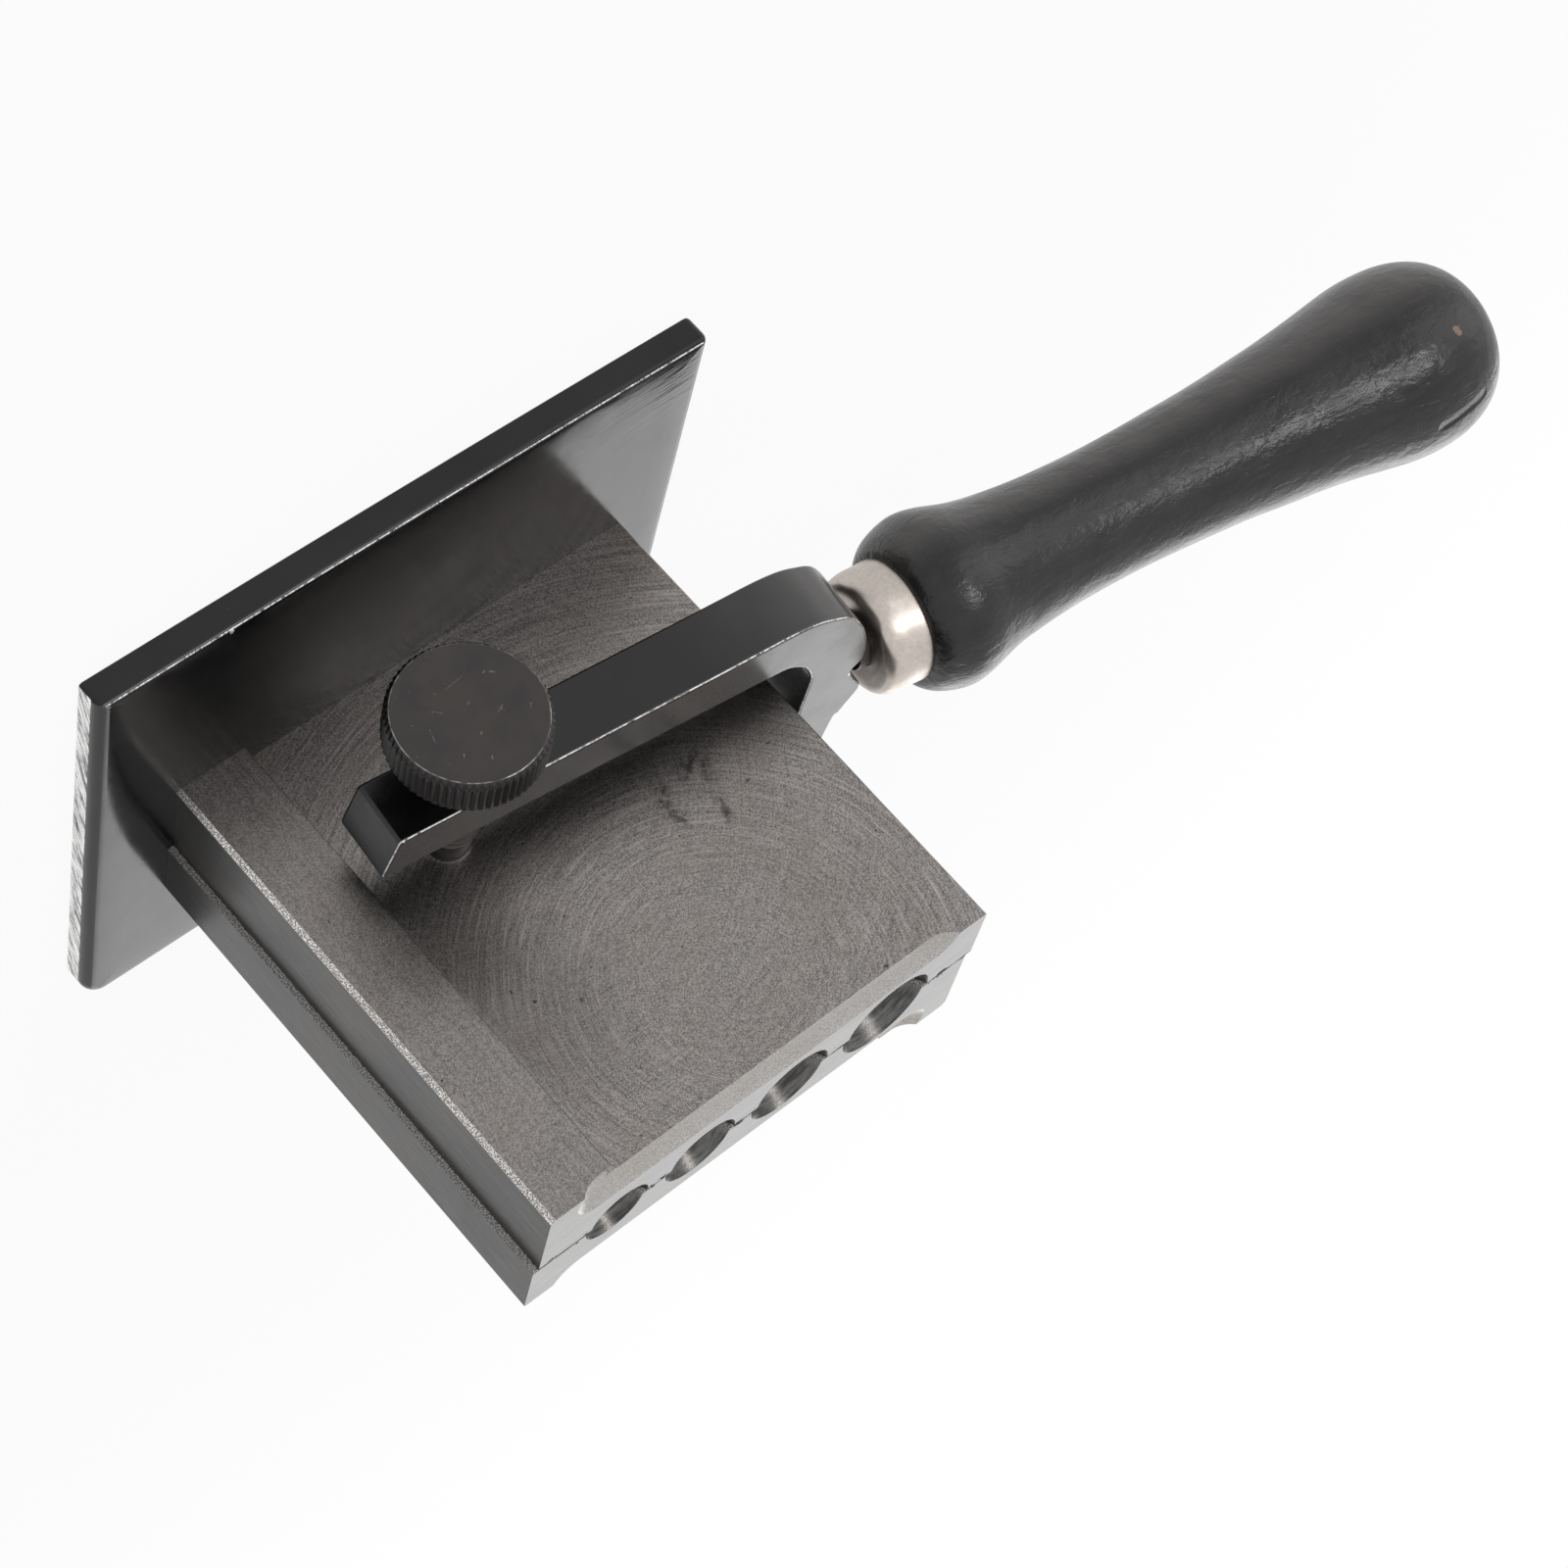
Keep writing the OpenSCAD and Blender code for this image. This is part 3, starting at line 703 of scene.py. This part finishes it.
# ---------------------------------------------------------------- the clamp frame
FRAME_OUTSIDE = [
    (-40, -20.05), (-47, -19.9), (-52, -19.8), (-55.5, -19.45), (-58.3, -18.75), (-60.9, -17.5),
    (-63.9, -15.6), (-66.3, -12.3), (-68.3, -8.1), (-69.5, -3.4), (-69.7, -0.3), (-69.3, 0.8),
    (-68.1, 2.0), (-68.1, 3.1), (-69.6, 6.4), (-70.9, 8.5), (-70.8, 10.1), (-69.4, 12.3),
    (-68.1, 14.4), (-67.4, 14.9), (-66.5, 20.1), (-66.0, 26), (-64.6, 30), (-62, 33),
    (-58.5, 34.3), (-54, BACK_Y + 10),
]
FRAME_INSIDE = [
    (-53.2, BACK_Y), (-56, 23.2), (-58.2, 21), (-59.2, 18), (-59.2, 12), (-59.2, 5.6), (-59.6, -1.1),
    (-59.3, -3.5), (-57.8, -6.6), (-56.0, -8.4), (-53.7, -9.8), (-51.4, -10.1),
]
FRAME_NOSE = [(15.2, -14.0), (12.9, -22.0)]
FRAME_BACK = [(16, BACK_Y + 10), (19, BACK_Y + 7.5), (19, BACK_Y)]


def frame_outline():
    outer, inner = ([p[:2] for p in smooth_path([(x, y, 0) for x, y in points])]
                    for points in (FRAME_OUTSIDE, FRAME_INSIDE))
    return FRAME_NOSE + outer + FRAME_BACK + inner


def soften(outline, radius):
    """The outline with its sharp corners rounded; gentle bends stay as they are."""
    gentle, steps = math.radians(25), 5
    out = []
    n = len(outline)
    for i in range(n):
        p = Vector(outline[i])
        back, ahead = Vector(outline[i - 1]) - p, Vector(outline[(i + 1) % n]) - p
        bend = math.pi - back.angle(ahead)
        if bend < gentle:
            out.append(p)
            continue
        reach = min(radius * math.tan(bend / 2), back.length * 0.4, ahead.length * 0.4)
        a, b = p + back.normalized() * reach, p + ahead.normalized() * reach
        for t in (s / steps for s in range(steps + 1)):
            out.append(a * (1 - t) ** 2 + p * (2 * t * (1 - t)) + b * t * t)
    return out


def inset(outline, depth):
    """The outline moved inwards by depth, each point along its own corner's middle."""
    n = len(outline)
    area = sum(outline[i - 1].x * outline[i].y - outline[i].x * outline[i - 1].y for i in range(n))
    side = 1 if area > 0 else -1
    out = []
    for i in range(n):
        before = (outline[i] - outline[i - 1]).normalized()
        after = (outline[(i + 1) % n] - outline[i]).normalized()
        inward = side * (Vector((-before.y, before.x)) + Vector((-after.y, after.x)))
        inward.normalize()
        along = max(inward.dot(side * Vector((-before.y, before.x))), 0.5)
        out.append(outline[i] + inward * (depth / along))
    return out


def rounded_prism(name, outline, low, high, r, place):
    """A flat bar cut to the outline, with rounded edges on both faces."""
    steps = 5
    turns = [math.radians(90 * i / steps) for i in range(steps + 1)]
    rows = [(r * (1 - math.sin(a)), low + r * (1 - math.cos(a))) for a in turns]
    rows += [(d, high + low - z) for d, z in reversed(rows)]
    n = len(outline)
    verts = [(p.x, p.y, z) for d, z in rows for p in inset(outline, d)]
    caps = tessellate_polygon([[Vector((p.x, p.y, 0)) for p in outline]])
    last = (len(rows) - 1) * n
    faces = [(c, b, a) for a, b, c in caps] + [(a + last, b + last, c + last) for a, b, c in caps]
    return make_object(name, verts, faces + faces_between(len(rows), n), place, 40)


def make_frame():
    """The bent bar, the foot behind the plates and the boss that bears on the back plate."""
    plane = (Matrix.Translation((SCREW_X, 0, SCREW_Z))
             @ Matrix.Rotation(math.radians(FRAME_TILT), 4, "Y"))
    outline = soften(frame_outline(), 0.7)
    clamp = rounded_prism("clamp_frame_forged", outline, -BAR_W / 2, BAR_W / 2, BAR_EDGE_R, plane)
    carve(clamp, [lathe("cut", [(0, 5), (BAR_HOLE_R, 5), (BAR_HOLE_R, 35), (0, 35)], screw_axis(0), 64)])
    even_normals(clamp, 40)
    foot = prism("clamp_foot", [(-FOOT_HALF, FOOT_FRONT), (FOOT_HALF, FOOT_FRONT),
                                (FOOT_HALF, FOOT_BACK), (-FOOT_HALF, FOOT_BACK)], BASE_T, SCREW_Z - 0.5)
    bevel(foot, 0.8, 3, 50)
    boss = lathe("clamp_boss", [(0, 0), (4.6, 0), (5.0, 0.4), (5.0, 4.5), (0, 4.5)],
                 Matrix.Translation((SCREW_X, FLOOR_BACK, SCREW_Z)) @ quarter("X", -1), 64)
    return [clamp, foot, boss]


# ---------------------------------------------------------------- the handle
GRIP_END = -3.5
GRIP = [(10.9, -3.25), (11.8, -2.5), (12.6, -1.4), (13.2, 0), (13.7, 1.6), (13.95, 3.2), (13.85, 5),
        (13.4, 7.2), (12.75, 9.4), (12.1, 11.8), (11.5, 15), (10.95, 19.5), (10.5, 25), (10.3, 31),
        (10.25, 37), (10.4, 43), (10.75, 50), (11.2, 58), (11.95, 66), (12.65, 73), (13.5, 79.5),
        (14.45, 85.5), (15.1, 89.5), (15.38, 93), (15.33, 96.5), (14.93, 99.5), (14.0, 102.5),
        (12.6, 105), (10.7, 107), (8.3, 108.3), (5, 108.95), (2, 109.13)]


def make_handle():
    profile = [(0, GRIP_END), (9.0, GRIP_END), (9.7, GRIP_END), (10.2, GRIP_END + 0.03)] + smooth_path(GRIP)
    profile.append((0, 109.15))

    def uneven(p, a):
        """Turned by hand: slightly hollow in places, but never proud."""
        d = noise.noise(Vector((p.x, p.y, p.z)) * 0.07) * 0.12 + noise.noise(p * 0.25) * 0.04
        if p.z < -2.5 or p.z > 108:
            d *= 0.2
        return p + Vector((math.cos(a), math.sin(a), 0)) * min(d, 0.0)

    return lathe("grip_turned", profile, handle_axis(), 160, uneven, 50)


def make_ferrule():
    r, bore, wall = FERRULE_R, FERRULE_BORE_R, 0.8
    outer = [(7.6, -10.9), (8.3, -10.75), (8.95, -10.35), (9.38, -9.7), (9.62, -8.9), (9.76, -7.9),
             (r - 0.06, -6.9), (r - 0.07, -5.8), (r - 0.04, -4.8), (r, -4.0), (r, -3.6)]
    profile = [(bore, -10.3), (bore, -10.72), (4.7, -10.85), (6.5, -10.9)] + smooth_path(outer)
    profile += [(r - 0.05, GRIP_END), (r - 0.75, GRIP_END), (r - wall, -3.9), (r - wall, -7), (bore, -10.3)]
    # soft dents low on its front: angle, distance along, width and depth
    dents = ((math.radians(-128), -8.3, 1.5, 0.16), (math.radians(-150), -5.0, 1.1, 0.07))

    def dented(p, a):
        d = 0.0
        for at, z, wide, deep in dents:
            gap = (a - at + math.pi) % (2 * math.pi) - math.pi
            q = (gap * r / wide) ** 2 + ((p.z - z) / (wide * 1.5)) ** 2
            d += deep * math.exp(-q)
        d += 0.07 * (0.5 + 0.5 * noise.noise(p * 0.26))
        flat = Vector((p.x, p.y, 0)).normalized()
        return p - flat * d * min(1.0, max(0.0, (p.x ** 2 + p.y ** 2) ** 0.5 - bore) / 3)

    return lathe("ferrule_spun", profile, handle_axis(), 144, dented, 50)


def make_tang():
    profile = [(0, -19.8), (3.45, -19.8), (3.45, -12.6), (4.1, -12.6), (4.25, -12.3), (4.25, 0), (0, 0)]
    return lathe("tang_rod", profile, handle_axis(), 64)


# ---------------------------------------------------------------- the clamp screw
def make_screw():
    """A helical thread that runs out at both ends, the upper one inside the knob, and its core and pin."""
    around = 40
    length = THREAD_TURNS * PITCH
    rows = int((THREAD_TURNS + 2) * around)
    # one pitch of thread: share of the pitch, and radius
    shape = [(0.0, ROOT_R), (0.12, 3.40), (0.40, 3.96), (0.50, 3.985), (0.60, 3.96), (0.88, 3.40)]
    verts, faces = [], []
    for i in range(rows + 1):
        a = 2 * math.pi * i / around
        lift = PITCH * i / around - PITCH
        for f, r in shape:
            z = min(max(lift + f * PITCH, 0.0), length)
            r = min(r, ROOT_R + 0.75 * min(z, length - z))
            verts.append((r * math.cos(a), -r * math.sin(a), z))
    m = len(shape)
    for i in range(rows):
        for j in range(m - 1):
            faces.append((i * m + j, (i + 1) * m + j, (i + 1) * m + j + 1, i * m + j + 1))
        if i + around <= rows - 1:
            faces.append((i * m + m - 1, (i + 1) * m + m - 1, (i + 1 + around) * m, (i + around) * m))
    faces.append(tuple(i * m for i in range(around)))
    faces.append(tuple(i * m for i in range(rows - around, rows)))
    place = screw_axis(FLOOR_FRONT - SCREW_START)
    thread = make_object("screw_thread", verts, faces, place, 60)
    inner, short = ROOT_R - 0.06, 0.05
    core = lathe("screw_core", [(0, -PIN_LONG), (PIN_R, -PIN_LONG), (PIN_R, short), (inner, short),
                                (inner, length - short), (0, length - short)], place, around)
    return [thread, core]


def make_knob():
    """The knurled knob: each ring is a radius, a height and how deep the knurl is cut there."""
    per = 8
    around = TEETH * per
    r, t = KNOB_R, KNOB_T
    rings = [(3.6, 0.0, 0.0), (9.6, 0.0, 0.0), (r - 0.75, 0.05, 0.0), (r - 0.35, 0.35, 0.4),
             (r - 0.02, 0.95, 1.0), (r, 1.6, 1.0), (r, t - 1.5, 1.0), (r, t - 0.85, 0.85),
             (r - 0.28, t - 0.5, 0.35), (r - 0.58, t - 0.16, 0.05), (r - 0.68, t - 0.05, 0.0),
             (r - 0.8, t - 0.01, 0.0), (r - 1.2, t - 0.01, 0.0), (7.5, t - 0.05, 0.0),
             (4.0, t - 0.03, 0.0), (0.9, t - 0.04, 0.0), (0.35, t - 0.09, 0.0)]
    verts = []
    for radius, z, depth in rings:
        for i in range(around):
            a = 2 * math.pi * i / around
            tooth = abs(2 * (i % per) / per - 1) ** 0.8
            cut = TOOTH_DEEP * depth * (1 - tooth)
            verts.append(((radius - cut) * math.cos(a), (radius - cut) * math.sin(a), z))
    faces = faces_between(len(rings), around)
    middle, last = len(verts), (len(rings) - 1) * around
    verts.append((0, 0, t - 0.11))
    faces += [(last + i, last + (i + 1) % around, middle) for i in range(around)]
    faces.append(tuple(range(around))[::-1])
    return make_object("knob_knurled", verts, faces, screw_axis(FLOOR_FRONT - KNOB_START), 38)


def make_tip():
    profile = [(0, 0), (2.9, 0), (3.3, 0.15), (3.5, 0.5), (3.5, 3.6), (3.35, 4.0), (1.6, 4.0),
               (1.6, 2.0), (0, 2.0)]
    return lathe("tip_turned", profile, screw_axis(FLOOR_FRONT), 64)


# ---------------------------------------------------------------- build
def dress(obj, body, node, look):
    obj.data.materials.clear()
    obj.data.materials.append(look)
    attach(obj, body)
    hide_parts(node)


make_camera()

iron_front = ground_iron("ground_iron_front", PLATE_MID_X, FLOOR_FRONT, 1)
iron_back = ground_iron("ground_iron_back", PLATE_MID_X + BACK_SHIFT, FLOOR_BACK, -1)
tilt = math.radians(FRAME_TILT)
paint_base = black_paint("black_paint_base", [((30.5, -40.3, 4.9), 0.6), ((-0.1, -40.7, 4.8), 0.5),
                                              ((-48.4, -40.6, 4.8), 1.1)],
                         ((0, -0.64, 0.77), 0.990, 0.999, 2.0, 3.0), (0.13, 0.22), 1.36, bare_end=True)
paint_frame = black_paint("black_paint_frame", [((24.4, -21.9, 35.5), 0.7), ((-55.5, 3.0, 42.5), 1.0)],
                          ((math.sin(tilt), 0, math.cos(tilt)), 0.50, 0.60, 0.80, 0.90), (0.20, 0.29), 1.48,
                          painted_sheen_on_bend=True)
steel_dark = dark_steel("blackened_steel")
steel_knob = dark_steel("blackened_steel_knob", knob=True)
steel_tip = dark_steel("blackened_steel_tip", tip=True)
steel_plain = plain_steel("plain_steel")
nickel_look = nickel("nickel_plate")
wood_look = black_wood("black_wood")

dress(make_base(), "frame", "base_plate", paint_base)
for piece in make_frame():
    dress(piece, "frame", "clamp_frame", paint_frame)
dress(make_plate("front_plate_iron", 1), "front_half", "front_plate", iron_front)
dress(make_plate("back_plate_iron", -1), "back_half", "back_plate", iron_back)
dress(make_handle(), "frame", "handle_grip", wood_look)
dress(make_ferrule(), "frame", "ferrule", nickel_look)
dress(make_tang(), "frame", "handle_tang", steel_dark)
for piece in make_screw():
    dress(piece, "screw", "clamp_screw", steel_dark)
dress(make_knob(), "screw", "screw_knob", steel_knob)
dress(make_tip(), "tip", "pressure_tip", steel_tip)
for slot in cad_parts["base_screws"].material_slots:
    slot.material = steel_plain


# ---------------------------------------------------------------- stage and light, in metres
def make_floor():
    """A pale, matt floor that shows white, and keeps some of the object's shadow."""
    half, drop = 30.0 / MM, -0.05
    floor = make_object("floor", [(-half, -half, drop), (half, -half, drop), (half, half, drop),
                                  (-half, half, drop)], [(0, 1, 2, 3)])
    k = Look("floor_white")
    plain = k.add("ShaderNodeBsdfDiffuse", {"Color": (0.92, 0.92, 0.92, 1)})
    white = k.add("ShaderNodeEmission", {"Color": (1, 1, 1, 1), "Strength": 1.0})
    away = k.vec("LENGTH", k.place)
    k.end_with_either(k.mul(k.shown(), k.span(away, 0.12, 0.6, 0.92, 1.0)), plain, white)
    floor.data.materials.append(k.mat)


def make_world():
    """Soft even light that shows as plain white."""
    world = bpy.data.worlds.new("studio")
    bpy.context.scene.world = world
    k = Nodes(world, "ShaderNodeOutputWorld")
    soft = k.add("ShaderNodeBackground", {0: (0.95, 0.97, 1.0, 1), 1: 0.45})
    white = k.add("ShaderNodeBackground", {0: (1, 1, 1, 1), 1: 1.0})
    k.end_with_either(k.shown(), soft, white)


def make_lamp(name, at, to, size, power):
    data = bpy.data.lights.new(name, "AREA")
    data.shape = "RECTANGLE"
    data.size, data.size_y = size
    data.energy = power
    obj = bpy.data.objects.new(name, data)
    bpy.context.scene.collection.objects.link(obj)
    obj.location = Vector(at)
    obj.rotation_euler = (Vector(to) - Vector(at)).to_track_quat("-Z", "Y").to_euler()


make_world()
make_floor()
make_lamp("key", (-0.5, -1.2, 1.0), (-0.03, 0, 0.04), (0.5, 0.4), 4.4)
make_lamp("side", (-1.05, -0.85, 0.30), (-0.04, 0, 0.04), (1.4, 0.7), 2.5)
make_lamp("back", (-0.88, 1.7, 0.64), (0, 0, 0.05), (2.4, 1.2), 10.5)
bpy.context.scene.view_settings.view_transform = "Standard"
